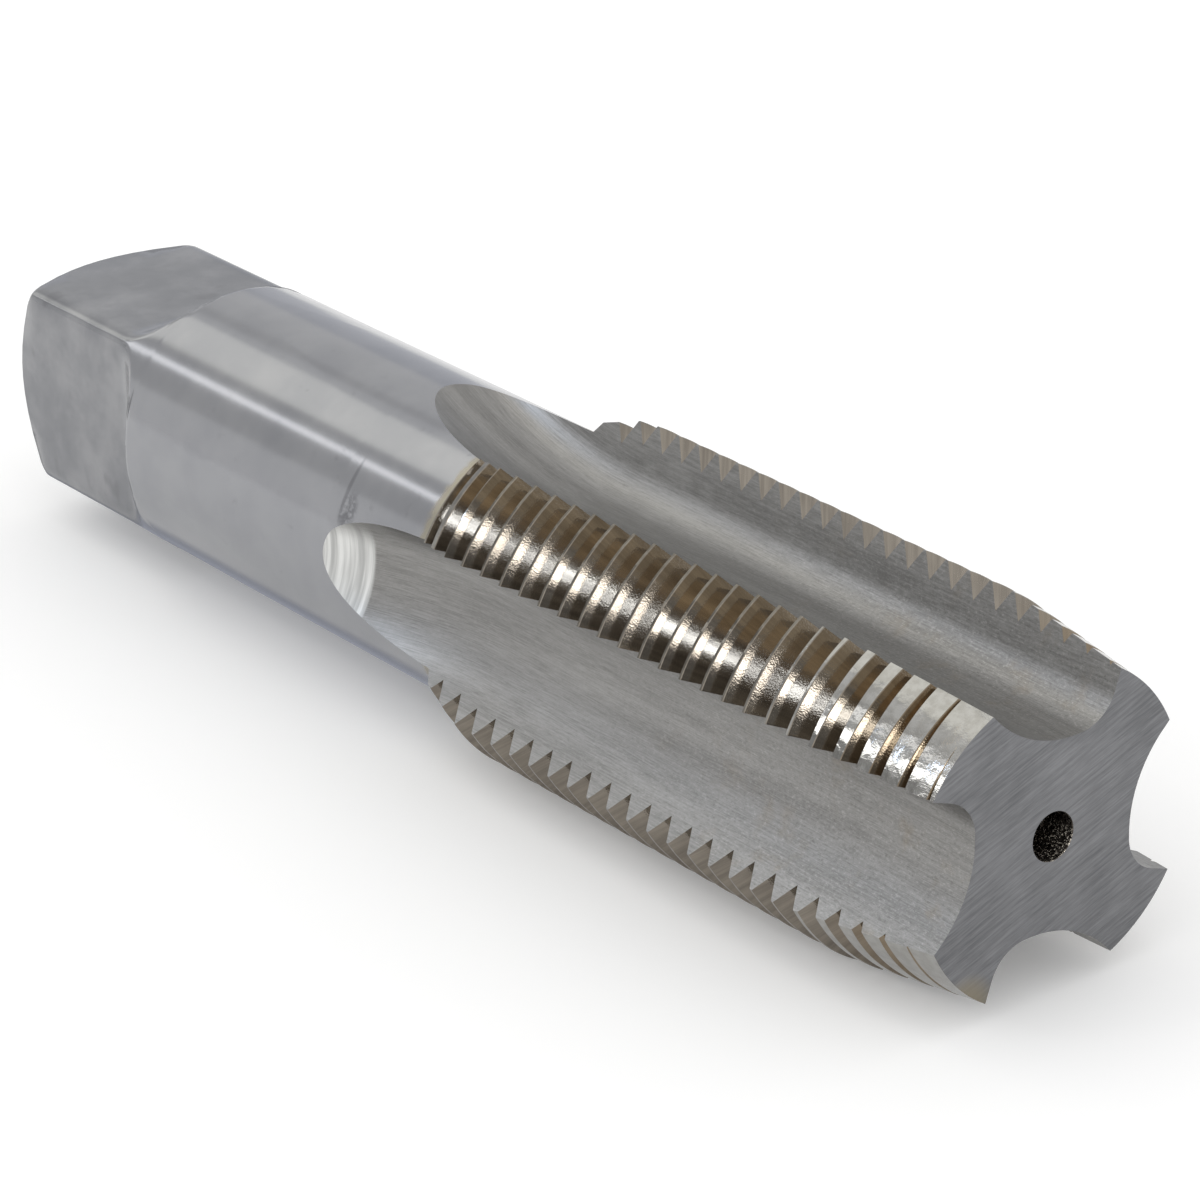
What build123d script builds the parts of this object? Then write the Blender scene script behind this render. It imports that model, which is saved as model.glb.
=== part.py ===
"""A hand tap for a 24 mm thread of 2 mm pitch: driving square, plain shank and fluted cutting body."""
import os
from math import acos, atan, cos, degrees, pi, radians, sin, tan

from build123d import *

# The tap lies along X. The origin is the centre of the drive end face, and +X points to the
# cutting end. +Z is up: the tap rests on two of its four lands, so one flute faces straight
# down, one straight up, and two flats of the square lie level. All sizes are in millimetres.

# The shank and its driving square, which is bevelled at its end
overall_length = 102.0
shank_diameter = 19.75
square_across_flats = 14.5
square_length = 13.5
square_run_out_radius = 5.0
end_bevel_length = 2.0
end_bevel_depth = 2.85

# The short steep cone from the shank up to the threaded body
shoulder_length = 0.7
shoulder_height = 0.85

# The thread, a sixty degree V with a narrow flat on its crest. Over a land each groove is cut
# in a few straight strokes, side by side, which stay within 0.05 mm of its arc. The first
# groove's place is measured from the front face, on the middle of the first land
thread_diameter = 24.0
thread_pitch = 2.0
thread_angle = 60.0
crest_flat = 0.2
groove_strokes = 4
first_groove = 0.48
thread_length = 49.0

# The cone that runs down to the shoulder, and the lead cone that does the cutting. Each land
# of the lead is ground on its own centre, so that it falls away behind its cutting edge
back_cone_length = 3.8
lead_length = 10.0
lead_angle = 8.1
lead_relief_offset = 0.56

# Four straight flutes: a raked cutting face, a tight hook at its foot, a floor, and a wide
# arc that climbs to the heel of the next land. The grinding wheel leaves a long run-out
land_count = 4
land_angle = 32.3
core_diameter = 12.0
rake_angle = 8.0
heel_wall_angle = 48.0
hook_radius = 2.8
heel_arc_radius = 8.0
least_floor = 0.2
flute_length = 44.0
flute_wheel_radius = 36.0

# The drilled centre hole in the front face
centre_hole_diameter = 3.1
centre_hole_depth = 6.0
centre_hole_point = 118.0
centre_hole_break = 0.15

# How far each cutter reaches past what it cuts
past = 1.0

shank_radius = shank_diameter / 2
thread_radius = thread_diameter / 2
shoulder_radius = shank_radius + shoulder_height
widest_radius = max(thread_radius, shank_radius) + past
thread_back = overall_length - thread_length
land_step = 360 / land_count

# The depth of the V follows from the pitch and the flat on its crest
flank_slope = tan(radians(thread_angle / 2))
root_radius = thread_radius - (thread_pitch - crest_flat) / (2 * flank_slope)


def turned(count, first=0.0):
    """Even places about the axis, for what is drawn at the top of the tap."""
    return [Location((0, 0, 0), (first + 360 / count * i, 0, 0)) for i in range(count)]


# The blank as it leaves the lathe: half its lengthwise section, from the drive end along the
# outside to the front face, and back down the centre hole
hole_radius = centre_hole_diameter / 2
hole_floor = overall_length - centre_hole_depth
hole_tip = hole_floor - hole_radius / tan(radians(centre_hole_point / 2))
with BuildPart() as blank:
    with BuildSketch(Plane.XZ):
        with BuildLine():
            Polyline(
                (0, 0),
                (0, shank_radius - end_bevel_depth),
                (end_bevel_length, shank_radius),
                (thread_back - shoulder_length, shank_radius),
                (thread_back, shoulder_radius),
                (thread_back + back_cone_length, thread_radius),
                (overall_length, thread_radius),
                (overall_length, hole_radius + centre_hole_break),
                (overall_length - centre_hole_break, hole_radius),
                (hole_floor, hole_radius),
                (hole_tip, 0),
                close=True,
            )
        make_face()
    revolve(axis=Axis.X)

# One side of the square at the top: its flat, and the run-out behind it of the round cutter
flat_height = square_across_flats / 2
with BuildPart() as square_cutter:
    with BuildSketch(Plane.XZ):
        with Locations((-past, flat_height)):
            Rectangle(square_length + past, widest_radius, align=Align.MIN)
        with Locations((square_length, flat_height + square_run_out_radius)):
            Circle(square_run_out_radius)
    extrude(amount=widest_radius, both=True)

# The section of one flute at the top of the tap, seen from the front with its cutting edge on
# the right. The cutting face leans back from the edge by the rake angle, the heel wall rises
# to the heel of the next land, and the floor between them lies on the core
half_gap = radians(land_step - land_angle) / 2
core_radius = core_diameter / 2
edge_across = thread_radius * sin(half_gap)
edge_height = thread_radius * cos(half_gap)
face_slope = tan(half_gap - radians(rake_angle))
heel_slope = 1 / tan(radians(heel_wall_angle))
flute_depth = edge_height - core_radius
face_foot = edge_across - flute_depth * face_slope
heel_foot = -edge_across + flute_depth * heel_slope
face_top = face_foot + (widest_radius + past - core_radius) * face_slope
heel_top = heel_foot - (widest_radius + past - core_radius) * heel_slope

# The two arcs share the floor: the hook takes its own room, and the heel's arc what it leaves
hook_room = hook_radius * tan((pi / 2 - atan(face_slope)) / 2)
heel_room = face_foot - heel_foot - hook_room - least_floor
heel_arc_limit = heel_room / tan(radians(heel_wall_angle) / 2)

flute_end = overall_length - flute_length
with BuildPart() as flute_cutter:
    with BuildSketch(Plane.YZ.offset(flute_end)) as flute_section:
        with BuildLine():
            Polyline(
                (face_top, widest_radius + past),
                (face_foot, core_radius),
                (heel_foot, core_radius),
                (heel_top, widest_radius + past),
                close=True,
            )
        make_face()
        fillet(flute_section.vertices().sort_by_distance((face_foot, core_radius))[0], hook_radius)
        heel_corner = flute_section.vertices().sort_by_distance((heel_foot, core_radius))[0]
        fillet(heel_corner, min(heel_arc_radius, heel_arc_limit))
    extrude(amount=flute_length + past)
    # The wheel leaves the flute along an arc, until its rim is clear of the blank
    wheel_axis = Axis((flute_end, 0, core_radius + flute_wheel_radius), (0, 1, 0))
    run_out_turn = degrees(acos(1 - (widest_radius - core_radius) / flute_wheel_radius))
    revolve(flute_section.sketch.face(), axis=wheel_axis, revolution_arc=run_out_turn)

# The lead cone over the land at the top, cut as an arc that ends in the flutes beside it. Its
# centre lies off the axis, towards the cutting edge, where the cone has its full radius
lead_turn = (land_angle + land_step) / 2
lead_slope = tan(radians(lead_angle))
edge_lift = lead_relief_offset * sin(radians(land_angle / 2))
lead_front_radius = thread_radius - lead_length * lead_slope - edge_lift
lead_top = thread_radius + past
lead_plane = Plane.XZ.offset(lead_relief_offset)
with BuildPart() as lead_cutter:
    with BuildSketch(lead_plane.rotated((-lead_turn / 2, 0, 0))):
        with BuildLine():
            Polyline(
                (overall_length + past, lead_front_radius - past * lead_slope),
                (overall_length + past, lead_top),
                (overall_length - (lead_top - lead_front_radius) / lead_slope, lead_top),
                close=True,
            )
        make_face()
    revolve(axis=Axis(lead_plane.origin, (1, 0, 0)), revolution_arc=lead_turn)

# One thread groove over the land at the top, midway along it at the origin. Its sides run on
# a little past the crest, but stay clear of the next groove
stroke_turn = land_angle / (groove_strokes - 1)
stroke_turns = [stroke_turn * (i - (groove_strokes - 1) / 2) for i in range(groove_strokes)]
groove_top = thread_radius + crest_flat / 4 / flank_slope
groove_half_width = (groove_top - root_radius) * flank_slope
with BuildPart() as groove_cutter:
    with BuildSketch(*[Plane.XZ.rotated((turn, 0, 0)) for turn in stroke_turns]):
        with BuildLine():
            Polyline(
                (0, root_radius),
                (groove_half_width, groove_top),
                (-groove_half_width, groove_top),
                close=True,
            )
        make_face()
    extrude(amount=thread_radius * sin(radians(stroke_turn)), both=True)

# Every groove of every land. Going round by one land carries the right hand helix forward by
# a land's share of the pitch, and each groove is turned by the lead angle to follow it
helix_turn = Location((0, 0, 0), (0, 0, degrees(atan(thread_pitch / (pi * thread_diameter)))))
groove_places = []
for i in range(land_count):
    x = overall_length - first_groove + thread_pitch * i / land_count
    while x > thread_back:
        if x < overall_length - crest_flat:
            groove_places.append(Location((x, 0, 0), (land_step * (i + 0.5), 0, 0)) * helix_turn)
        x -= thread_pitch

with BuildPart() as thread_tap:
    add(blank.part)
    with Locations(*turned(4)):
        add(square_cutter.part, mode=Mode.SUBTRACT)
    with Locations(*turned(land_count, land_step / 2)):
        add(lead_cutter.part, mode=Mode.SUBTRACT)
    with Locations(*groove_places):
        add(groove_cutter.part, mode=Mode.SUBTRACT)
    with Locations(*turned(land_count)):
        add(flute_cutter.part, mode=Mode.SUBTRACT)

os.makedirs("parts", exist_ok=True)
thread_tap.part.label = "thread_tap"
export_step(thread_tap.part, "parts/thread_tap.step")
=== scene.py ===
# %% [markdown]
# A hand tap, ground from one bar of tool steel
#
# A tap cuts the thread inside a hole. This one has a driving square, a plain round shank and a
# cutting body with a fine thread, four flutes for the chips and a tapered lead that starts the
# cut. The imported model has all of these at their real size. Here the same form is drawn again
# with a true helix and soft edges, and gets its finishes: satin ground steel, streaky flutes,
# and a thread that is dark and glossy with cutting oil.

# %% Load the frame
from math import acos, atan2, cos, hypot, pi, radians, sin, sqrt, tan

import bmesh
import bpy
import numpy as np
from mathutils import Matrix, Vector


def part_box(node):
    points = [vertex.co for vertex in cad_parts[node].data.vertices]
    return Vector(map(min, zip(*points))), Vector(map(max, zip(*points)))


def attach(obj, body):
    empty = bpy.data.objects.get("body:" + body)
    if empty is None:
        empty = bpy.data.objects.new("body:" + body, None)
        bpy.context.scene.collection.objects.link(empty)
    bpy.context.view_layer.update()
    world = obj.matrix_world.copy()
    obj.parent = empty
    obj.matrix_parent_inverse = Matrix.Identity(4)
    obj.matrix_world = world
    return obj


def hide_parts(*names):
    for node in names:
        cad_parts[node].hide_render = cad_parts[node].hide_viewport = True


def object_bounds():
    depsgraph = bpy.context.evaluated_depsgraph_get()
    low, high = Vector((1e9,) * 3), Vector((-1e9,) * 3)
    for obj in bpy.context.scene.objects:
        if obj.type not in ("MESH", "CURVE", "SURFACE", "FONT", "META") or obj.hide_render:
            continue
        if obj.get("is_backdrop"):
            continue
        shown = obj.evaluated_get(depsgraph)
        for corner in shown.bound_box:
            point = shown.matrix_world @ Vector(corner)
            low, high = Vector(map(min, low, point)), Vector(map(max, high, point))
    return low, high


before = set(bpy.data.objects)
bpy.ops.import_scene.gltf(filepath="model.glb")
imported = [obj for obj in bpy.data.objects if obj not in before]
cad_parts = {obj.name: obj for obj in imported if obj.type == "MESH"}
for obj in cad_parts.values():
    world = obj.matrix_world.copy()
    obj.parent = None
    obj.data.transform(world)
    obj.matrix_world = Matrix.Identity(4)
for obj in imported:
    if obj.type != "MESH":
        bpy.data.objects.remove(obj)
cad_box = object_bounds()
low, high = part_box("thread_tap")
MM = 0.001
print("the packed tap is", [round((b - a) / MM, 2) for a, b in zip(low, high)], "mm")

# %% [markdown]
# The sizes of the tap
#
# All sizes are in millimetres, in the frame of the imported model: the origin is the centre of
# the drive end, X runs along the axis to the cutting end, and Z is up. Angles are measured
# about the axis, from +Y towards +Z, so that the flutes lie at 0, 90, 180 and 270 degrees
# and the lands between them at 45, 135, 225 and 315.

# %% Sizes
length = high[0] / MM
shank_radius = 19.75 / 2
flat_height = 14.5 / 2
square_length = 13.5
square_run_out_radius = 5.0
end_bevel_length = 2.0
end_bevel_depth = 2.85
end_radius = shank_radius - end_bevel_depth
end_bevel_slope = end_bevel_depth / end_bevel_length

thread_radius = 24.0 / 2
pitch = 2.0
thread_angle = 60
crest_flat = 0.2
flank_slope = tan(radians(thread_angle / 2))
root_radius = thread_radius - (pitch - crest_flat) / (2 * flank_slope)
first_groove = length - 0.48
thread_back = length - 49.0
shoulder_front_radius = shank_radius + 0.85
shoulder_back = thread_back - 0.7
back_cone_length = 3.8

lead_length = 10.0
lead_slope = tan(radians(8.1))
lead_offset = 0.56
land_angle = 32.3
lead_edge_lift = lead_offset * sin(radians(land_angle / 2))
lead_front_radius = thread_radius - lead_length * lead_slope - lead_edge_lift

core_radius = 12.0 / 2
rake = radians(8)
heel_wall = radians(48)
hook_radius = 2.8
heel_arc_radius = 8.0
flute_end = length - 44.0
wheel_radius = 36.0

hole_radius = 3.1 / 2
hole_break = 0.04
hole_floor = length - 6.0
hole_point = radians(118)
print("the thread is", round(thread_radius - root_radius, 2), "mm deep")

# %% [markdown]
# The section of a flute
#
# On the real tap a profiled grinding wheel cuts each flute in one pass: a raked cutting face,
# a tight hook at its foot, a short floor, a wide arc and a straight heel wall. The section
# could be cut out of a threaded bar with a boolean, but that leaves ragged triangles along
# the cutting edges. Here it is a line of points instead, and the mesh is laid along it. The
# points carry a measure that grows faster where the line bends, so that equal steps of it
# put more of the mesh on the arcs.

# %% The flute section
half_gap = radians(90 - land_angle) / 2
face_lean = half_gap - rake
edge_across = thread_radius * sin(half_gap)
edge_height = thread_radius * cos(half_gap)
face_foot = edge_across - (edge_height - core_radius) * tan(face_lean)
heel_foot = -edge_across + (edge_height - core_radius) / tan(heel_wall)
hook_room = hook_radius * tan((pi / 2 - face_lean) / 2)
heel_room = heel_arc_radius * tan(heel_wall / 2)
section_top = thread_radius + 1.5
length_step = 1.4
bend_step = radians(7)


def arc(centre, radius, start, end, count):
    """Points along an arc, with its angles in radians."""
    turns = np.linspace(start, end, count)
    return np.stack([centre[0] + radius * np.cos(turns), centre[1] + radius * np.sin(turns)], 1)


def straight(start, end, count):
    """Points along a straight line."""
    return np.linspace(start, end, count)


hook_centre = (face_foot - hook_room, core_radius + hook_radius)
heel_centre = (heel_foot + heel_room, core_radius + heel_arc_radius)
hook = arc(hook_centre, hook_radius, -face_lean, -pi / 2, 120)
heel = arc(heel_centre, heel_arc_radius, -pi / 2, -pi / 2 - heel_wall, 160)
face_top = (face_foot + (section_top - core_radius) * tan(face_lean), section_top)
heel_top = (heel_foot - (section_top - core_radius) / tan(heel_wall), section_top)
cutting_face = straight(face_top, hook[0], 160)
heel_side = straight(heel[-1], heel_top, 160)
section = np.concatenate([cutting_face, hook[1:], heel, heel_side[1:]])

steps = np.diff(section, axis=0)
headings = np.unwrap(np.arctan2(steps[:, 1], steps[:, 0]))
bends = np.concatenate([[0], np.abs(np.diff(headings))])
measure = np.concatenate([[0], np.cumsum(np.hypot(*steps.T) / length_step + bends / bend_step)])
print("the flute is", round(float(edge_height - core_radius), 2), "mm deep, in", len(section), "points")


def lifted(x):
    """Heights of the section's points at x, where the wheel has begun to leave the flute."""
    back = max(0.0, flute_end - x)
    wheel_axis = core_radius + wheel_radius
    return wheel_axis - np.sqrt((wheel_axis - section[:, 1]) ** 2 - back ** 2)


def flute_edge(x, radius, side):
    """Where the section leaves a cylinder of this radius: its measure there, by side."""
    over = np.hypot(section[:, 0], lifted(x)) - radius
    middle = int(np.argmin(over))
    if over[middle] >= 0:
        return float(measure[middle])
    if side == "cut":
        inner = int(np.nonzero(over[:middle + 1] > 0)[0][-1])
        outer = inner + 1
    else:
        outer = middle + int(np.nonzero(over[middle:] > 0)[0][0])
        inner = outer - 1
    share = over[inner] / (over[inner] - over[outer])
    return float(measure[inner] + share * (measure[outer] - measure[inner]))


def flute_point(x, at):
    """The section's point at this measure, as across and height."""
    return float(np.interp(at, measure, section[:, 0])), float(np.interp(at, measure, lifted(x)))


# %% [markdown]
# The outer surface and the helix
#
# Round the lands the tap is a cylinder with a cone at each end. The lead cone is ground off
# centre on every land, so that it falls away behind its cutting edge. A true thread is a V
# swept along a helix. Screw modifiers make a thread on a whole bar, but here its rows have to
# end in the flutes, so each row of the mesh follows the helix by itself, and its place along
# the axis moves forward by one pitch in a turn. Eight rows make one groove and one crest: the
# root, the middle of a flank, both sides of the crest's edge, the middle of the crest, and the
# same on the way down again.

# %% The lands
edge_softness = 0.025
least_half_width = 0.06
half_width_of_no_groove = 0.3
least_root_radius = shank_radius + 0.1
last_groove_room = 0.25
groove_count = 26
rows_per_groove = 8


def back_cone(x):
    """Radius of the cone behind the thread at x."""
    rise = (thread_radius - shoulder_front_radius) / back_cone_length
    return shoulder_front_radius + (x - thread_back) * rise


def envelope(x, phi):
    """Radius of the blank at x, and at phi radians from the middle of a land."""
    cone = lead_front_radius + (length - x) * lead_slope
    lead = lead_offset * np.sin(phi) + np.sqrt(cone ** 2 - (lead_offset * np.cos(phi)) ** 2)
    return np.minimum(np.minimum(lead, back_cone(x)), thread_radius)


def groove_root(centre):
    """Radius at a groove's bottom, which sinks a little on the cone at the back."""
    depth = thread_radius - root_radius
    return min(root_radius, max(back_cone(centre) - depth, least_root_radius))


def groove_half_width(centre, phi, way):
    """Distance from a groove's middle to its crest edge, towards +X or -X."""
    widest = (pitch - crest_flat) / 2
    width = widest
    for _ in range(8):
        depth = envelope(centre + way * width, phi) - groove_root(centre)
        width = np.clip(depth * flank_slope, 0.0, widest)
    return max(float(width), least_half_width)


def land_row(row, land, phi):
    """Place along the axis and radius of one row of the thread, at phi on a land."""
    groove, kind = divmod(row, rows_per_groove)
    groove -= groove_count - 1
    turn = (land - 1) / 4 + phi / (2 * pi)
    here = first_groove + pitch * (groove + turn)
    after = here + pitch
    middles = [first_groove + pitch * (groove + i + (land - 1) / 4) for i in (0, 1)]
    cut = [thread_back + last_groove_room < middle < length - crest_flat for middle in middles]
    out = groove_half_width(here, phi, 1) if cut[0] else half_width_of_no_groove
    back = groove_half_width(after, phi, -1) if cut[1] else half_width_of_no_groove
    near, far = min(edge_softness, out / 3), min(edge_softness, back / 3)
    crest_start, crest_end = here + out, after - back
    x = (here, here + out / 2, crest_start - near, crest_start + near,
         (crest_start + after - back) / 2, crest_end - far, crest_end + far, after - back / 2)[kind]
    x = min(max(x, thread_back), length)
    radius = float(envelope(x, phi))
    if cut[0] and x > thread_back:
        radius = min(radius, groove_root(here) + abs(x - here) / flank_slope)
    if cut[1] and x > thread_back:
        radius = min(radius, groove_root(after) + abs(x - after) / flank_slope)
    return x, radius


row_count = groove_count * rows_per_groove
print("the thread has", row_count, "rows on each land")

# %% [markdown]
# Laying the skin
#
# The skin is a set of patches, each a grid of points: four lands, four flutes, the shank with
# its square, the two ends and the centre hole. Neighbours share the points of their common
# edge exactly, so one merge by distance closes the skin. Every patch names its finish, which
# later becomes a material slot.

# %% A collector for patches
land_columns = 32
flute_columns = 24
points = []
quads = []
quad_finish = []
finish_names = ["shank", "square", "thread", "flute", "front", "hole"]
print("the skin takes", len(finish_names), "finishes")


def lay(grid, finish):
    """Adds one patch: rows of points, and the name of its finish or a function that gives it."""
    rows, columns = len(grid), len(grid[0])
    start = len(points)
    for line in grid:
        points.extend(tuple(MM * float(c) for c in point) for point in line)
    for r in range(rows - 1):
        for c in range(columns - 1):
            first = start + r * columns + c
            quads.append((first, first + 1, first + columns + 1, first + columns))
            name = finish(grid[r][c]) if callable(finish) else finish
            quad_finish.append(finish_names.index(name))


def around(x, radius, turn):
    """A point at this angle about the axis."""
    return (x, radius * cos(turn), radius * sin(turn))


def section_point(x, across, height, flute):
    """A point of the flute's section on the flute with this number, counted from the top one."""
    turn = flute * pi / 2
    return (x, across * cos(turn) - height * sin(turn), across * sin(turn) + height * cos(turn))


# %% [markdown]
# The threaded body
#
# Each row of a land ends where it runs into the flute on either side. That place is found by
# turns: from an angle follows the row's radius, from the radius the point where the section
# leaves that circle, and from the point a better angle. After four rounds it no longer moves.
# A boolean would find the same line, but the land and the flute would then not share points.

# %% Where the rows meet the flutes
def land_edge(row, land, side):
    """Where a row meets the flute beside its land: phi, x, radius and the flute's measure."""
    phi = radians(land_angle / 2) * (1 if side == "cut" else -1)
    middle = pi / 4 if side == "cut" else 3 * pi / 4
    for _ in range(4):
        x, radius = land_row(row, land, phi)
        at = flute_edge(x, radius, side)
        across, height = flute_point(x, at)
        phi = atan2(height, across) - middle
    x, radius = land_row(row, land, phi)
    return phi, x, radius, at


edges = {}
for land in range(4):
    for side in ("cut", "heel"):
        edges[land, side] = [land_edge(row, land, side) for row in range(row_count)]
cut_places = [edge[1] for edge in edges[0, "cut"]]
print("the first land's edge runs over", round(max(cut_places) - min(cut_places), 2), "mm")

# %% Lands and flutes in the thread
for land in range(4):
    middle = pi / 4 + land * pi / 2
    grid = []
    for row in range(row_count):
        start = edges[land, "heel"][row][0]
        end = edges[land, "cut"][row][0]
        line = []
        for phi in np.linspace(start, end, land_columns + 1):
            x, radius = land_row(row, land, float(phi))
            line.append(around(x, radius, middle + float(phi)))
        grid.append(line)
    lay(grid, "thread")

for flute in range(4):
    behind, ahead = flute, (flute + 1) % 4
    grid = []
    for row in range(row_count):
        cut_phi, cut_x, cut_radius, cut_at = edges[behind, "cut"][row]
        heel_phi, heel_x, heel_radius, heel_at = edges[ahead, "heel"][row]
        line = [around(cut_x, cut_radius, pi / 4 + behind * pi / 2 + cut_phi)]
        for share in np.linspace(0, 1, flute_columns + 1)[1:-1]:
            x = cut_x + (heel_x - cut_x) * share
            across, height = flute_point(x, cut_at + (heel_at - cut_at) * share)
            line.append(section_point(x, across, height, flute))
        line.append(around(heel_x, heel_radius, pi / 4 + ahead * pi / 2 + heel_phi))
        grid.append(line)
    lay(grid, "flute")
print(len(points), "points after the thread")

# %% [markdown]
# The run-outs
#
# Behind the thread the wheel climbs out of the flute and leaves a long pointed scallop in the
# shank. Its outline is where the lifted section meets the cylinder, and it closes in a point.
# Halving finds that point: it lies between a place where the section clears the shank and one
# where it still cuts. The rows are laid closer together towards it, in steps that grow.

# %% Lands and flutes in the run-out
tip_low, tip_high = shoulder_back - wheel_radius, shoulder_back
for _ in range(60):
    tip = (tip_low + tip_high) / 2
    if np.min(np.hypot(section[:, 0], lifted(tip))) > shank_radius:
        tip_low = tip
    else:
        tip_high = tip
tip = tip_high
run_out_rows = 22
stations = []
for i in range(run_out_rows + 1):
    stations.append((tip + (shoulder_back - tip) * (i / run_out_rows) ** 2, shank_radius))
stations.append(((shoulder_back + thread_back) / 2, (shank_radius + shoulder_front_radius) / 2))
stations.append((thread_back, shoulder_front_radius))
print("the flutes run out at", round(tip, 2), "mm")

run_out_edges = []
for x, radius in stations:
    ends = [flute_edge(x, radius, side) for side in ("cut", "heel")]
    turns = []
    for at in ends:
        across, height = flute_point(x, at)
        turns.append(atan2(height, across) - pi / 2)
    run_out_edges.append((x, radius, ends, turns))

for quarter in range(4):
    flute_middle = pi / 2 + quarter * pi / 2
    land_grid = []
    flute_grid = []
    for x, radius, ends, (cut_turn, heel_turn) in run_out_edges:
        land_start, land_end = flute_middle + heel_turn, flute_middle + pi / 2 + cut_turn
        land_turns = np.linspace(land_start, land_end, land_columns + 1)
        land_grid.append([around(x, radius, float(turn)) for turn in land_turns])
        line = [around(x, radius, flute_middle + cut_turn)]
        for at in np.linspace(ends[0], ends[1], flute_columns + 1)[1:-1]:
            across, height = flute_point(x, float(at))
            line.append(section_point(x, across, height, quarter))
        line.append(around(x, radius, flute_middle + heel_turn))
        flute_grid.append(line)
    lay(land_grid, "shank")
    lay(flute_grid, "flute")

# %% [markdown]
# The shank and its square
#
# The square is milled into the round shank with a cutter that rises out of the flats at the
# shoulder, and its end is turned to a bevel. A box joined to a cylinder would need booleans
# and bevels. Round the axis this form has only one radius at each place, so it can be a
# single sheet: the least of the cylinder, the flats and the bevel cone, with their meeting
# edges softened a little as a worn tool's are.

# %% The shank as one sheet
shank_softness = 0.55


def softer_least(a, b, softness=shank_softness):
    """The smaller of two radii, rounded where they are nearly the same."""
    near = np.maximum(softness - np.abs(a - b), 0.0) / softness
    return np.minimum(a, b) - near * near * softness / 4


def flat_level(x):
    """Height of the flats over the axis, with the run-out of the cutter behind them."""
    into = min(max(x - square_length, 0.0), square_run_out_radius)
    return flat_height + square_run_out_radius - sqrt(square_run_out_radius ** 2 - into ** 2)


def shank_surface(x, turn):
    """Radius of the shank, at an angle from the middle of the nearest flat."""
    flats = flat_level(x) / cos(turn)
    cone = end_radius + end_bevel_slope * x
    return float(softer_least(softer_least(shank_radius, flats), cone))


def flat_half_angle(x):
    """Angle from a flat's middle to its edge, but never quite closed."""
    return max(acos(min(flat_level(x) / shank_radius, 1.0)), radians(3))


def square_turns(x):
    """Angles of the columns from one flat's middle to the next, close together at its edges."""
    edge = flat_half_angle(x)
    near = radians(3.4)
    start = max(edge - near, edge / 2)
    end = min(edge + near, pi / 4 - radians(0.5))
    half = np.concatenate([
        np.linspace(0, start, 5),
        np.linspace(start, end, 9)[1:],
        np.linspace(end, pi / 4, 5)[1:],
    ])
    return np.concatenate([half, pi / 2 - half[-2::-1]])


def bevel_place(turn):
    """How far along X the end bevel reaches at this angle."""
    return (min(flat_height / cos(turn), shank_radius) - end_radius) / end_bevel_slope


print("the flats run out at", square_length + square_run_out_radius, "mm")

# %% [markdown]
# The rows of the sheet
#
# Rows that all stand square to the axis would cut across the bevel's curved edge. So the first
# rows follow that edge, each at a share of the bevel's length. Then come straight rows along
# the flats and their run-out, and at last rows whose points drift to the places where the
# scallops of the flutes begin, so that both patches share them.

# %% Rows of the sheet
bevel_rows_end = 2.6
first_row_step = 0.06
run_out_back = square_length + square_run_out_radius
sheet_rows = [("bevel", share) for share in (0.0, 0.35, 0.7, 0.88, 1.0, 1.12)]
sheet_rows += [("straight", float(x)) for x in np.linspace(bevel_rows_end, square_length, 8)]
sheet_rows += [("straight", float(x)) for x in np.linspace(square_length, run_out_back, 28)[1:]]
sheet_rows += [("spread", float(share)) for share in np.linspace(0, 1, 12)[1:]]
print(len(sheet_rows), "rows along the shank")

# %% Lay the shank and the end face
first_turns = run_out_edges[0][3]


def square_or_shank(point):
    """The square's finish for what is cut below the round of the shank."""
    below = hypot(point[1], point[2]) < shank_radius - 0.02
    return "square" if point[0] < run_out_back and below else "shank"


for quarter in range(4):
    flat_middle = pi / 2 + quarter * pi / 2
    ring = np.linspace(first_turns[1], pi / 2 + first_turns[0], land_columns + 1)
    grid = []
    for kind, value in sheet_rows:
        line = []
        if kind == "spread":
            x = run_out_back + (tip - run_out_back) * value
            eased = value * value * (3 - 2 * value)
            turns = square_turns(run_out_back) * (1 - eased) + ring * eased
        else:
            turns = square_turns(value if kind == "straight" else 0.0)
        for turn in turns:
            off_flat = min(turn, pi / 2 - turn)
            if kind == "bevel":
                x = min(bevel_place(off_flat) * value, bevel_rows_end)
                x = max(x, first_row_step if value else 0.0)
            elif kind == "straight":
                x = value
            radius = shank_surface(x, off_flat) if kind != "spread" or value < 1 else shank_radius
            line.append(around(x, radius, flat_middle + float(turn)))
        grid.append(line)
    lay(grid, square_or_shank)
    end_grid = []
    for share in (0.0, 0.3, 0.6, 0.9, 0.985, 1.0):
        line = []
        for turn in square_turns(0.0):
            off_flat = min(turn, pi / 2 - turn)
            radius = share * shank_surface(0.0, off_flat)
            line.append(around(0.0, radius, flat_middle + float(turn)))
        end_grid.append(line)
    lay(end_grid, "square")
print(len(points), "points with the shank")

# %% [markdown]
# The centre hole and the front face
#
# The hole in the front face is left from turning the blank between centres. It is a drilled
# hole with a slightly broken edge and a pointed floor. The front face between the hole and
# the outline of lands and flutes is flat, so it is filled once the rest is merged.

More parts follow.
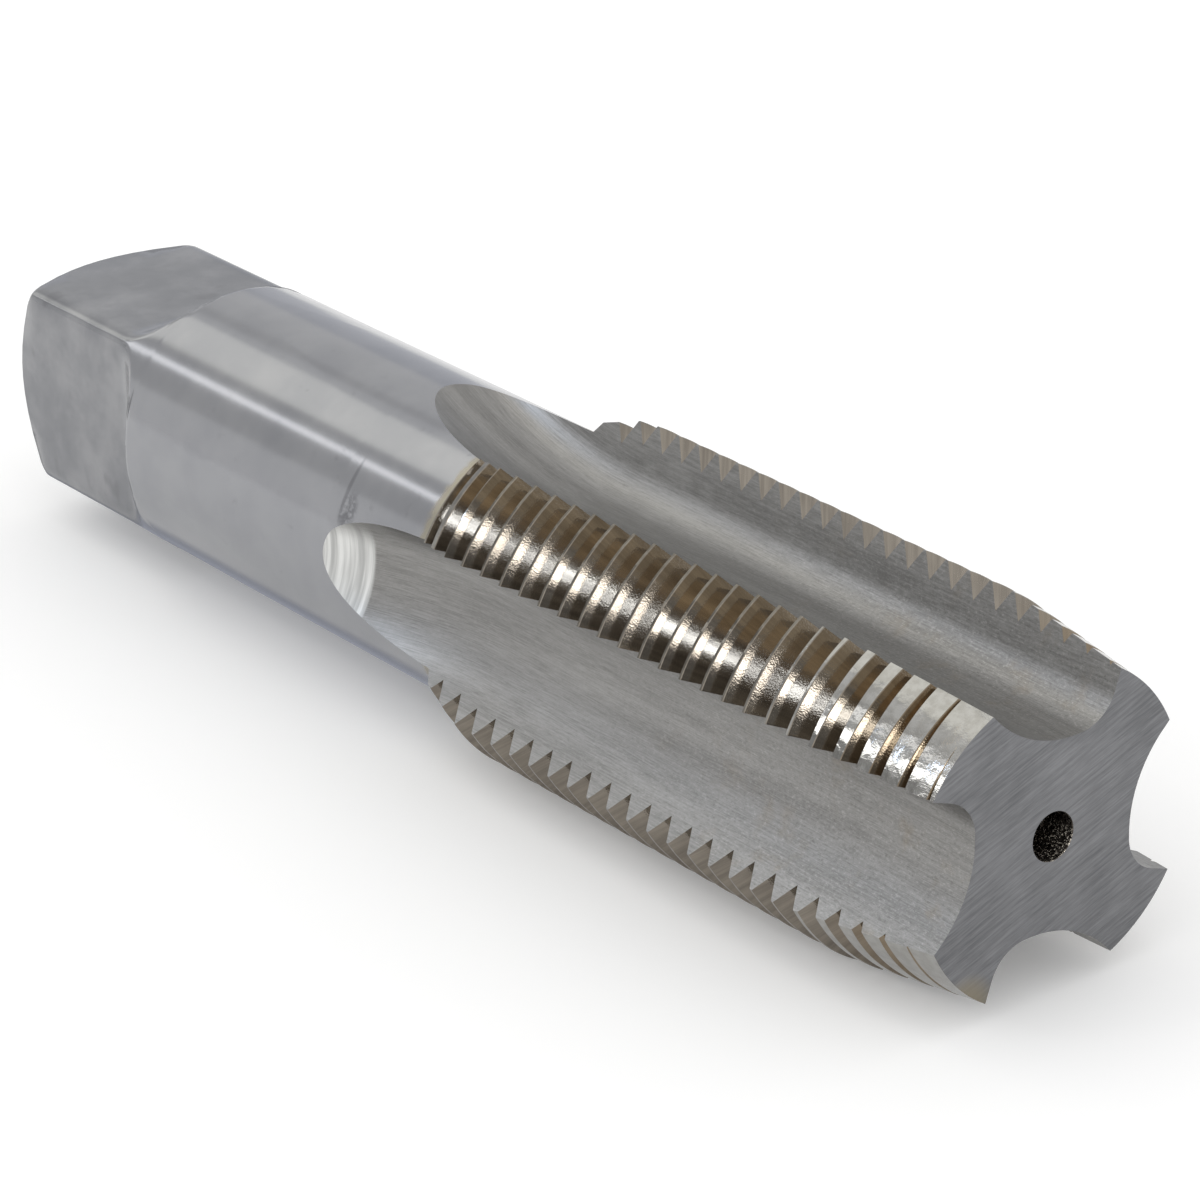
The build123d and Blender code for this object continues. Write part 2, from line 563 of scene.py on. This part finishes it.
# %% The centre hole
hole_columns = 48
hole_tip = hole_floor - hole_radius / tan(hole_point / 2)
hole_profile = [(length, hole_radius + hole_break), (length - hole_break, hole_radius)]
for x in np.linspace(length - hole_break, hole_floor, 9)[1:]:
    hole_profile.append((float(x), hole_radius))
for share in (0.33, 0.66, 1.0):
    hole_profile.append((hole_floor + (hole_tip - hole_floor) * share, hole_radius * (1 - share)))
hole_turns = np.linspace(0, 2 * pi, hole_columns + 1)
lay([[around(x, radius, turn) for turn in hole_turns] for x, radius in hole_profile], "hole")
print(len(points), "points with the hole, which ends at", round(hole_tip, 2), "mm")

# %% [markdown]
# One closed skin
#
# The merge joins the patches along their shared edges. What is still open after it is the
# outline of the front face and the mouth of the hole, and a fill between the two makes the
# face. A modelled face would have to know every corner of that outline beforehand.

# %% Merge the patches and fill the front face
merge_distance = 0.0008 * MM
mesh = bpy.data.meshes.new("ground_tap")
mesh.from_pydata(points, [], quads)
mesh.polygons.foreach_set("material_index", quad_finish)
skin = bmesh.new()
skin.from_mesh(mesh)
bmesh.ops.remove_doubles(skin, verts=skin.verts, dist=merge_distance)
bmesh.ops.dissolve_degenerate(skin, dist=merge_distance, edges=skin.edges)
rim_edges = [edge for edge in skin.edges if edge.is_boundary]
print(len(rim_edges), "open edges before the front face is filled")
filled = bmesh.ops.triangle_fill(skin, use_beauty=True, use_dissolve=False, edges=rim_edges)
for piece in filled["geom"]:
    if isinstance(piece, bmesh.types.BMFace):
        piece.material_index = finish_names.index("front")
bmesh.ops.recalc_face_normals(skin, faces=skin.faces)
open_edges = [edge for edge in skin.edges if not edge.is_manifold]
print(len(open_edges), "edges that don't close")

# %% [markdown]
# Sharp and smooth edges
#
# Smooth shading bends the light over an edge, which suits the softened edges of the square and
# the curved walls of the flutes. On the thread it would blur the flat flanks, so edges there
# are already sharp from a smaller angle.

# %% Sharp edges, and the finished piece
sharp_on_thread = radians(15)
sharp_elsewhere = radians(28)
thread_number = finish_names.index("thread")
for edge in skin.edges:
    on_thread = all(face.material_index == thread_number for face in edge.link_faces)
    edge.smooth = edge.calc_face_angle(0.0) < (sharp_on_thread if on_thread else sharp_elsewhere)
skin.to_mesh(mesh)
skin.free()
for polygon in mesh.polygons:
    polygon.use_smooth = True
tap = bpy.data.objects.new("ground_tap", mesh)
bpy.context.scene.collection.objects.link(tap)
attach(tap, "root")
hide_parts("thread_tap")
mesh.calc_loop_triangles()
print("the tap is drawn in", len(mesh.loop_triangles), "triangles")

# %% [markdown]
# Shader maths as Python
#
# Every finish below is a small sum of masks, noises and colours. Written node by node that is
# long and hard to read. A thin class wraps a socket instead, so that an expression such as
# 1 - mask adds its own Math node. Vectors take Vector Math, and colours go through Mix. The
# other sums that a finish needs are methods with plain names.

# %% Sockets that take Python's signs
class Wire:
    """A socket in a material's tree. Signs on it add the node that does the sum."""

    def __init__(self, tree, socket):
        self.tree = tree
        self.socket = socket

    def node(self, kind, settings=None, sockets=None, output=0):
        """Adds any node from its type, its settings and the values or links of its sockets."""
        made = self.tree.nodes.new(kind)
        for name, value in (settings or {}).items():
            setattr(made, name, value)
        for name, value in (sockets or {}).items():
            if isinstance(value, Wire):
                self.tree.links.new(value.socket, made.inputs[name])
            else:
                made.inputs[name].default_value = value
        return Wire(self.tree, made.outputs[output])

    def maths(self, operation, *values):
        """A Math node, by the name of its sum."""
        return self.node("ShaderNodeMath", {"operation": operation}, dict(enumerate(values)))

    def __add__(self, other):
        return self.maths("ADD", self, other)

    __radd__ = __add__

    def __sub__(self, other):
        return self.maths("SUBTRACT", self, other)

    def __rsub__(self, other):
        return self.maths("SUBTRACT", other, self)

    def __mul__(self, other):
        return self.maths("MULTIPLY", self, other)

    __rmul__ = __mul__

    def __truediv__(self, other):
        return self.maths("DIVIDE", self, other)

    def __abs__(self):
        return self.maths("ABSOLUTE", self)

    def root(self):
        """Square root."""
        return self.maths("SQRT", self)

    def whole(self):
        """The whole number below."""
        return self.maths("FLOOR", self)

    def nearest(self):
        """The nearest whole number."""
        return self.maths("ROUND", self)

    def over(self, other):
        """1 where this is the greater one, and 0 elsewhere."""
        return self.maths("GREATER_THAN", self, other)

    def angle(self, other):
        """The angle whose sine goes with this value and whose cosine goes with the other."""
        return self.maths("ARCTAN2", self, other)

    def axis(self, number):
        """One axis of a place or a direction: 0, 1 or 2 for X, Y or Z."""
        return self.node("ShaderNodeSeparateXYZ", {}, {0: self}, number)

    def point(self, x, y, z):
        """A place made from three values."""
        return self.node("ShaderNodeCombineXYZ", {}, {0: x, 1: y, 2: z})

    def rise(self, start, end):
        """From 0 at start to 1 at end, smoothly."""
        settings = {"interpolation_type": "SMOOTHSTEP", "clamp": True}
        return self.node("ShaderNodeMapRange", settings, {0: self, 1: start, 2: end, 3: 0.0, 4: 1.0})

    def stretched(self, along, across, up):
        """A place with each of its axes scaled."""
        scales = (along, across, up)
        return self.node("ShaderNodeVectorMath", {"operation": "MULTIPLY"}, {0: self, 1: scales})

    def noise(self, scale, detail=2.0, roughness=0.5):
        """Soft noise from 0 to 1 at this place."""
        values = {"Vector": self, "Scale": scale, "Detail": detail, "Roughness": roughness}
        return self.node("ShaderNodeTexNoise", {}, values)

    def cells(self, scale):
        """Distance to the nearest of scattered points."""
        return self.node("ShaderNodeTexVoronoi", {}, {"Vector": self, "Scale": scale})

    def blend(self, first, second):
        """The first colour where this mask is 0 and the second where it is 1."""
        return self.node("ShaderNodeMix", {"data_type": "RGBA"}, {0: self, 6: first, 7: second}, 2)

    def bump(self, height, distance, after=None):
        """A bumped normal. The height is from 0 to 1 and the distance is in millimetres."""
        values = {"Strength": 1.0, "Distance": distance * MM, "Height": height}
        if after is not None:
            values["Normal"] = after
        return self.node("ShaderNodeBump", {}, values)


# %% [markdown]
# The start of a finish
#
# All six finishes are bare steel, so they share a metal shader and the places that marks are
# drawn on: along the tap, across it, round it and unrolled. The angle round the tap is counted
# from the middle of the near flute, so that its jump lies on the far side. The mesh needs no
# image and no unwrapping: a pattern in space keeps its size everywhere on the tap.

# %% The start of a finish
class Finish:
    """A metal material with the places that its patterns are drawn on, in millimetres."""

    def __init__(self, name):
        self.material = bpy.data.materials.new(name)
        self.material.use_nodes = True
        self.tree = self.material.node_tree
        self.shader = self.tree.nodes["Principled BSDF"]
        self.shader.inputs["Metallic"].default_value = 1.0
        start = Wire(self.tree, None)
        raw = start.node("ShaderNodeTexCoord", output="Object")
        self.place = raw.node("ShaderNodeVectorMath", {"operation": "SCALE"}, {0: raw, "Scale": 1 / MM})
        self.x, self.y, self.z = (self.place.axis(number) for number in range(3))
        self.radius = (self.y * self.y + self.z * self.z).root()
        self.turn = (self.z * -1.0).angle(self.y * -1.0)
        self.wrapped = self.x.point(self.x, self.turn * 10.0, self.radius)

    def spot(self, x, degrees_round, along, across):
        """1 at this place along and round the tap, fading to 0 at these distances."""
        off_x = (self.x - x) / along
        off_round = (self.turn - radians(degrees_round - 180)) * (shank_radius / across)
        return 1 - (off_x * off_x + off_round * off_round).rise(0.0, 1.0)

    def set(self, colour, roughness, normal):
        """Feeds the shader, and gives the tap this material as its next slot."""
        for name, value in (("Base Color", colour), ("Roughness", roughness), ("Normal", normal)):
            self.tree.links.new(value.socket, self.shader.inputs[name])
        tap.data.materials.append(self.material)
        print("finish", self.material.name, "has", len(self.tree.nodes), "nodes")


# %% [markdown]
# The shank
#
# The shank is cylindrically ground, satin and slightly blue. Handling has left soft blotches,
# a few dark smudges and one darker scuff, and heat and oil have stained a tan band beside the
# thread. These could be painted on an image, but a formula needs no unwrapping and stays sharp
# from close by. Noise stretched round the tap stands for the wheel's marks, and smooth masks
# along X and round the axis place the band and the scuff.

# %% Ground shank
shank = Finish("satin_ground_shank")
grinding = shank.wrapped.stretched(1.0, 0.05, 1.0).noise(9.0, 3.0, 0.7)
clouds = shank.place.noise(0.16, 3.0, 0.6)
fine = shank.place.noise(14.0, 2.0, 0.6)
shank_colour = clouds.rise(0.3, 0.7).blend((0.28, 0.284, 0.3, 1), (0.318, 0.321, 0.334, 1))
smudge = shank.place.noise(0.9, 4.0, 0.65).rise(0.62, 0.74) * shank.x.rise(20.0, 30.0)
shank_colour = (smudge * 0.3).blend(shank_colour, (0.2, 0.2, 0.21, 1))
scuff = shank.spot(43.8, 155, 1.1, 1.8) * shank.place.noise(2.0, 4.0, 0.7).rise(0.35, 0.6)
scuff = scuff + shank.spot(43.1, 146, 0.25, 2.8) * 0.6
shank_colour = (scuff * 0.75).blend(shank_colour, (0.12, 0.12, 0.13, 1))
band_edge = shank.place.noise(1.2, 2.0) * 0.8
tan_band = (shank.x + band_edge).rise(51.6, 52.2)
shank_colour = (tan_band * 0.85).blend(shank_colour, (0.31, 0.28, 0.215, 1))
shank_roughness = 0.11 + clouds * 0.06 + grinding * 0.03 + tan_band * 0.15
shank_normal = shank.x.bump(grinding * 0.6 + fine * 0.4, 0.0006)
shank.set(shank_colour, shank_roughness, shank_normal)

# %% [markdown]
# The square
#
# The flats are milled and lightly polished by the wrench. They are blotchy, with soft dark
# smudges where dirt and oil sit. Three noises make them: a broad one for the tone, one drawn
# out along the tap for what the wrench has rubbed, and one for the dirt.

# %% Milled square
square = Finish("milled_square")
patches = square.place.noise(0.22, 4.0, 0.6)
rubbed = square.place.stretched(0.3, 1.0, 1.0).noise(1.6, 4.0, 0.7)
square_colour = patches.rise(0.3, 0.75).blend((0.2, 0.204, 0.216, 1), (0.295, 0.296, 0.305, 1))
square_colour = (rubbed.rise(0.55, 0.8) * 0.2).blend(square_colour, (0.2, 0.2, 0.21, 1))
dirt = square.place.stretched(0.5, 0.35, 0.35).noise(0.8, 2.0, 0.5).rise(0.6, 0.72)
square_colour = (dirt * 0.45).blend(square_colour, (0.15, 0.15, 0.16, 1))
square_roughness = 0.17 + patches * 0.12
square_normal = square.x.bump(rubbed * 0.5 + square.place.noise(9.0, 3.0, 0.6) * 0.5, 0.0012)
square.set(square_colour, square_roughness, square_normal)

# %% [markdown]
# The thread
#
# The thread is ground bright, but a film of cutting oil has dried brown in its grooves. The
# flanks are glossy and speckled, with fine bands from the wheel. The narrow crests behind are
# darker, and the wide ground crests of the lead are pale. Two materials would need a border
# along every crest. The slope of the surface tells them apart as well: on a flank the normal
# points mostly along the axis, and on a crest away from it. The grain of the bumps differs
# from one tooth to the next.

# %% Oiled thread
thread = Finish("oiled_thread")
normal_x = thread.x.node("ShaderNodeTexCoord", output="Normal").axis(0)
flank = abs(normal_x).rise(0.35, 0.6)
tooth = ((thread.x - 0.5) / pitch).whole()
chance = tooth.node("ShaderNodeTexWhiteNoise", {"noise_dimensions": "1D"}, {"W": tooth})
speckle = thread.place.noise(9.0, 4.0, 0.8)
grains = thread.place.cells(9.0)
waves = thread.place.noise(0.8, 2.0, 0.5)
rays = thread.wrapped.stretched(0.05, 1.0, 0.05).noise(2.2, 4.0, 0.7)
film = thread.wrapped.stretched(0.5, 0.25, 0.3).noise(1.0, 2.0, 0.5)
oiliness = (rays * 0.7 + film * 0.3).rise(0.32, 0.68)
oil = oiliness.blend((0.19, 0.168, 0.142, 1), (0.3, 0.268, 0.226, 1))
oil = (speckle.rise(0.6, 0.72) * 0.3).blend(oil, (0.48, 0.46, 0.43, 1))
brown_lead = thread.x.rise(91.0, 98.0)
oil = (brown_lead * 0.6).blend(oil, (0.2, 0.145, 0.085, 1))
pale_lead = thread.x.rise(85.0, 92.0)
worn = pale_lead.blend((0.11, 0.1, 0.085, 1), (0.36, 0.355, 0.34, 1))
worn = (thread.place.noise(1.6, 3.0).rise(0.35, 0.65) * 0.4).blend(worn, (0.22, 0.21, 0.19, 1))
thread_colour = flank.blend(worn, oil)
thread_roughness = 0.06 + rays * 0.05 + chance * 0.04
graininess = 0.15 + chance * 0.85
thread_normal = thread.x.bump(rays, 0.002)
thread_normal = thread.x.bump(waves * (1 - flank), 0.05, thread_normal)
thread_normal = thread.x.bump(grains * graininess, 0.004, thread_normal)
thread_normal = thread.x.bump(speckle * graininess, 0.0035, thread_normal)
thread.set(thread_colour, thread_roughness, thread_normal)

# %% [markdown]
# The flutes
#
# The flutes are ground along their length, so they carry fine straight streaks and look
# warm and pale against the thread. Towards the front some brown oil has dried in blotches,
# and the steel is finely mottled. The streaks are noise on a place that hardly changes along
# the tap. Its middle axis runs across whichever flute the point is on, so that all four are
# streaked alike. Where the near flute ends, a pale crescent with fine lines is a painted
# highlight: the light that its run-out mirrors is painted into its colour.

# %% Ground flutes
flutes = Finish("ground_flutes")
upright = abs(flutes.z).over(abs(flutes.y))
across = upright * flutes.y + (1 - upright) * flutes.z
side = (flutes.turn * (2 / pi)).nearest()
lengthwise = across.point(flutes.x * 0.03, across, side * 9.0)
streaks = lengthwise.noise(15.0, 4.0, 0.8)
broad = lengthwise.stretched(2.0, 1.0, 1.0).noise(0.7, 3.0, 0.6)
streakiness = (streaks * 0.65 + broad * 0.35).rise(0.34, 0.66)
flute_colour = streakiness.blend((0.185, 0.181, 0.174, 1), (0.32, 0.314, 0.303, 1))
stain = flutes.place.noise(0.35, 4.0, 0.65).rise(0.52, 0.75) * flutes.x.rise(66.0, 92.0)
flute_colour = (stain * 0.35).blend(flute_colour, (0.24, 0.19, 0.13, 1))
specks = flutes.place.stretched(0.6, 1.0, 1.0).noise(6.0, 3.0, 0.8)
mottling = 0.15 + flutes.x.rise(60.0, 90.0) * 0.35
pale_specks = specks.rise(0.52, 0.72) * mottling
dark_specks = (1 - specks.rise(0.3, 0.46)) * mottling
flute_colour = pale_specks.blend(flute_colour, (0.45, 0.44, 0.42, 1))
flute_colour = dark_specks.blend(flute_colour, (0.12, 0.115, 0.105, 1))

# %% The painted highlight at the end of the near flute
# Painted highlight: the crescent where the near flute's run-out mirrors light is painted pale into its
# colour, with fine lines.
painted_highlight_front = flutes.x.rise(45.5, 45.8)
painted_highlight = (1 - painted_highlight_front) * (1 - abs(flutes.turn).rise(0.9, 1.0))
painted_highlight = painted_highlight * flutes.turn.rise(radians(-25), radians(-12))
highlight_lines = flutes.place.stretched(1.0, 0.12, 0.04).noise(2.2, 3.0, 0.6)
bright = highlight_lines.rise(0.3, 0.7).blend((0.42, 0.42, 0.41, 1), (0.72, 0.72, 0.7, 1))
flute_colour = painted_highlight.blend(flute_colour, bright)
flutes.set(flute_colour, 0.36 + streaks * 0.12, flutes.x.bump(streaks, 0.006))

# %% [markdown]
# The front face
#
# The front face is flat-ground: its fine straight lines run across it at a slant, with a
# few darker scratches, and it is a little bluer and darker than the rest. One corner has a tan
# stain. Turning the place by the slant first lets the same stretched noise draw the lines.

# %% Ground front face
front = Finish("ground_front")
slant = radians(108.6)
across_lines = front.y * cos(slant) + front.z * sin(slant)
along_lines = front.z * cos(slant) - front.y * sin(slant)
lined = front.x.point(across_lines, along_lines * 0.05, 0.0)
lines = lined.noise(5.0, 4.0, 0.75)
scratches = lined.noise(1.7, 5.0, 0.8).rise(0.66, 0.72)
tone = (lines * 0.7 + front.place.noise(0.25, 3.0) * 0.3).rise(0.3, 0.7)
front_colour = tone.blend((0.13, 0.132, 0.138, 1), (0.245, 0.247, 0.256, 1))
front_colour = (scratches * 0.5).blend(front_colour, (0.16, 0.15, 0.15, 1))
corner_y, corner_z = front.y + 6.8, front.z + 9.0
stained = 1 - (corner_y * corner_y + corner_z * corner_z).rise(0.4, 6.0)
front_colour = (stained * 0.8).blend(front_colour, (0.27, 0.235, 0.17, 1))
front_roughness = 0.3 + lines * 0.15
front_normal = front.x.bump(lines, 0.012)
front.set(front_colour, front_roughness, front_normal)

# %% [markdown]
# The centre hole
#
# Nobody finishes the inside of the centre hole. It is dark and gritty, with turned rings. On the
# side of its mouth that faces the light, a few painted glints stand in for the light it mirrors.
# At this size a strong bump shows the rings and grit as well as real grooves would.

# %% Drilled hole
hole = Finish("drilled_hole")
rings = hole.x.point(hole.x, hole.turn * 0.4, hole.radius).noise(6.0, 3.0, 0.8)
grit = hole.place.noise(6.0, 3.0, 0.8)
hole_colour = grit.rise(0.5, 0.72).blend((0.06, 0.052, 0.045, 1), (0.4, 0.36, 0.31, 1))
# Painted glints: near-white spots painted into the colour on the side of the mouth that faces the
# light.
painted_glint_turn = 2.3
painted_glint_side = 1 - abs(hole.turn - painted_glint_turn).rise(0.5, 1.2)
painted_glints = grit.rise(0.52, 0.6) * painted_glint_side * hole.x.rise(98.5, 100.0)
hole_colour = painted_glints.blend(hole_colour, (0.95, 0.88, 0.76, 1))
hole.set(hole_colour, 0.15 + grit * 0.2, hole.x.bump(rings * 0.4 + grit * 0.6, 0.16))

# %% [markdown]
# The white table
#
# The photograph is a plain product shot: a white ground and soft light from all sides. The
# table is one large plane under the tap. Paper alone would look grey under this light, and a
# brighter light would wash out the tap. So the table glows a little by itself, but only for
# the camera and for rays that metal or glass send on.

# %% White table
def stage_mesh(name, corners):
    """A flat piece of the set, which isn't part of the tap."""
    made = bpy.data.meshes.new(name)
    made.from_pydata(corners, [], [tuple(range(len(corners)))])
    thing = bpy.data.objects.new(name, made)
    bpy.context.scene.collection.objects.link(thing)
    thing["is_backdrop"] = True
    return thing


def emptied(holder):
    """A wire to start from, in the emptied tree of a new material or world."""
    holder.use_nodes = True
    holder.node_tree.nodes.clear()
    return Wire(holder.node_tree, None)


def finished(shader, output):
    """Feeds this shader to the output of its tree."""
    out = shader.tree.nodes.new(output)
    shader.tree.links.new(shader.socket, out.inputs["Surface"])


def seen_mask(start):
    """1 for rays from the camera, and for those that metal or glass send on."""
    seen = start.node("ShaderNodeLightPath", output="Is Camera Ray")
    for ray in ("Is Glossy Ray", "Is Transmission Ray"):
        seen = seen.maths("MAXIMUM", seen, start.node("ShaderNodeLightPath", output=ray))
    return seen


floor_level = low[2]
reach = 3.0
floor = stage_mesh("table", [(-reach, -reach, floor_level), (reach, -reach, floor_level),
                             (reach, reach, floor_level), (-reach, reach, floor_level)])
paper = bpy.data.materials.new("white_table")
start = emptied(paper)
own_light = seen_mask(start) * 0.15
matt = start.node("ShaderNodeBsdfDiffuse", {}, {"Color": (0.9, 0.9, 0.9, 1)})
lift = start.node("ShaderNodeEmission", {}, {"Color": (1, 1, 1, 1), "Strength": own_light})
finished(start.node("ShaderNodeAddShader", {}, {0: matt, 1: lift}), "ShaderNodeOutputMaterial")
floor.data.materials.append(paper)
print("the table lies at", round(floor_level / MM, 2), "mm")

# %% [markdown]
# The white surroundings
#
# A room of white paper would need walls and many lamps. An even white world does the same. It
# is a touch brighter where it is seen or mirrored than where it lights the table.

# %% White surroundings
world = bpy.data.worlds.new("white_room")
bpy.context.scene.world = world
start = emptied(world)
dim = start.node("ShaderNodeBackground", {}, {"Color": (1, 1, 1, 1), "Strength": 0.95})
white = start.node("ShaderNodeBackground", {}, {"Color": (1, 1, 1, 1), "Strength": 1.0})
room = start.node("ShaderNodeMixShader", {}, {0: seen_mask(start), 1: dim, 2: white})
finished(room, "ShaderNodeOutputWorld")
print("the world has", len(world.node_tree.nodes), "nodes")

# %% [markdown]
# Panels and cards
#
# Metal shows what is around it, so its tones are set by what stands there, as in a studio. A
# panel is a lamp: it adds to the white world, and draws bright lines and glints. A card
# replaces the white behind it in the metal: a dark one makes a dark band, a tan one warms the
# oiled flanks. More lamps alone couldn't darken anything. Each one faces the tap, and stands
# in a direction worked out from what the camera sees mirrored at a place.

# %% Panels that light and cards that the metal sees
middle = (low + high) / 2
panel_distance = 0.6


def turned_to_tap(thing, towards, tilt, away):
    """Sets a panel in this direction from the tap, facing it.

    Its own X runs across the tap, or is tilted from level by this angle."""
    outward = Vector(towards).normalized()
    across = (Vector((1, 0, 0)) if tilt is None else Vector((0, 0, 1))).cross(outward).normalized()
    up = outward.cross(across)
    turn = Matrix((across, up, outward)).transposed() @ Matrix.Rotation(radians(tilt or 0), 3, "Z")
    thing.matrix_world = Matrix.Translation(middle + outward * away) @ turn.to_4x4()


def panel(name, towards, across, along, brightness, tilt=None, colour=(1, 1, 1)):
    """A soft lamp of this width and length, whose surface is this bright."""
    lamp = bpy.data.lights.new(name, "AREA")
    lamp.color = colour
    lamp.shape = "RECTANGLE"
    lamp.size = across
    lamp.size_y = along
    lamp.energy = brightness * pi * across * along
    thing = bpy.data.objects.new(name, lamp)
    bpy.context.scene.collection.objects.link(thing)
    turned_to_tap(thing, towards, tilt, panel_distance)


def faded(start, shader, across, along):
    """The shader on a card that fades out at its edges: soon at -X, and slowly elsewhere."""
    place = start.node("ShaderNodeTexCoord", output="Object")
    u, v = place.axis(0), place.axis(1)
    inside = (u + across / 2).rise(0.0, 2.2 * MM) * (1 - u.rise(0.0, across / 2))
    inside = inside * (1 - abs(v).rise(along * 0.35, along * 0.5))
    clear = start.node("ShaderNodeBsdfTransparent")
    return start.node("ShaderNodeMixShader", {}, {0: inside, 1: clear, 2: shader})


def card(name, towards, across, along, brightness, tilt=None, colour=(1, 1, 1), away=0.6,
         soft=False):
    """A card of this tone that only the metal sees, and that casts no shadow."""
    x, y = across / 2, along / 2
    thing = stage_mesh(name, [(-x, -y, 0), (x, -y, 0), (x, y, 0), (-x, y, 0)])
    material = bpy.data.materials.new(name)
    start = emptied(material)
    tone = {"Color": (*colour, 1), "Strength": brightness}
    glow = start.node("ShaderNodeEmission", {}, tone)
    if soft:
        glow = faded(start, glow, across, along)
    finished(glow, "ShaderNodeOutputMaterial")
    thing.data.materials.append(material)
    turned_to_tap(thing, towards, tilt, away)
    thing.visible_camera = False
    thing.visible_diffuse = False
    thing.visible_shadow = False
    return thing


def beside(round_angle):
    """The direction that the shank mirrors to the camera, by its angle about the axis."""
    turn = radians(round_angle)
    return (-0.73, 0.684 * cos(turn), 0.684 * sin(turn))


def ahead_of(elevation, azimuth):
    """A direction beyond the cutting end."""
    up, aside = radians(elevation), radians(azimuth)
    return (cos(up) * cos(aside), cos(up) * sin(aside), sin(up))


print("the panels stand", panel_distance, "m from the tap")

# %% [markdown]
# What stands round the tap
#
# Two long panels draw the shank's soft top light and the thin bright line beside it, and long
# cards make its darker bands. Beyond the cutting end, a large tan card is what the thread's
# flanks show, and a slanting panel between two dark cards draws the streak of light along the
# near land. Smaller ones above the near side light the crests and the lead. The last card
# lies on the table and gives the shank's underside a shade, with its edges faded out.

# %% Lamps and cards
oil_tint = (1, 0.86, 0.66)
panel("top_panel", beside(99), 0.2, 0.7, 0.5, colour=(1, 0.98, 0.85))
panel("line_panel", beside(127.5), 0.034, 0.7, 1.75)
panel("end_panel", ahead_of(15.1, -10.3), 0.25, 0.054, 8.0, tilt=-38)
panel("lead_panel", (-0.41, -0.7, 0.585), 0.07, 0.1, 5.0)
card("right_card", beside(72), 0.05, 0.9, 0.78)
card("left_card", beside(132.5), 0.28, 0.9, 0.76, away=0.65)
card("limb_card", beside(4), 0.52, 0.9, 0.75, colour=(0.96, 0.98, 1.04), away=0.62)
card("upper_card", beside(47), 0.3, 0.9, 0.92, away=0.64)
card("tan_card", ahead_of(14, -8), 0.5, 0.46, 0.5, tilt=0, colour=oil_tint, away=0.75)
card("low_card", ahead_of(8.5, -15.3), 0.4, 0.11, 0.2, tilt=-38, away=0.65)
card("high_card", ahead_of(19.7, -5.9), 0.4, 0.055, 0.28, tilt=-38, away=0.65)
card("over_glow", (-0.165, -0.4, 0.9), 0.2, 0.12, 1.7, colour=oil_tint)
card("over_panel", (-0.19, -0.69, 0.7), 0.066, 0.085, 28.0, colour=(0.78, 0.96, 1.26))
card("lead_card", (-0.43, -0.76, 0.47), 0.2, 0.14, 0.45, away=0.65)
card("over_card", (-0.19, -0.85, 0.49), 0.18, 0.12, 0.5)
shade_colour = (0.88, 0.92, 1.05)
shade = card("under_card", (0, 0, -1), 0.03, 0.09, 0.42, colour=shade_colour, soft=True)
shade_place = Vector((0.011, 0.0066, floor_level + 0.0002))
shade.matrix_world = Matrix.Translation(shade_place) @ Matrix.Rotation(pi / 2, 4, "Z")
print(len(bpy.data.lights), "panels and", len(bpy.data.materials), "materials in all")

# %% [markdown]
# The camera
#
# The photograph was taken with a long lens, from beyond the cutting end and well above the
# tap. The camera's place, lens and slight roll come from points on the tap, such as the ends
# of the crests and the corners of the front face, that had to fall where the picture has them.
# A camera set by eye would have made the tap look too long or too short.

# %% Camera
camera_place = Vector((297.4, -177.4, 136.2)) * MM
look_at = Vector((58.3, 0.45, 0.0)) * MM
camera_roll = radians(-2.16)
camera = bpy.data.cameras.new("camera")
camera.sensor_width = 36.0
camera.lens = 153.0
view = bpy.data.objects.new("camera", camera)
bpy.context.scene.collection.objects.link(view)
facing = (look_at - camera_place).to_track_quat("-Z", "Y").to_matrix()
rolled = facing @ Matrix.Rotation(camera_roll, 3, "Z")
view.matrix_world = Matrix.Translation(camera_place) @ rolled.to_4x4()
bpy.context.scene.camera = view
bpy.context.scene.view_settings.view_transform = "Standard"
print("the camera stands", round((camera_place - look_at).length, 3), "m from what it looks at")

# %% [markdown]
# The sizes side by side
#
# The drawn tap stays inside the imported one's box. The two boxes are written down together, so
# that they can be compared.

# %% Print both boxes and finish
seen_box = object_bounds()
print("the packed box and the drawn box, in mm:")
for corner in (*cad_box, *seen_box):
    print([round(c / MM, 3) for c in corner])
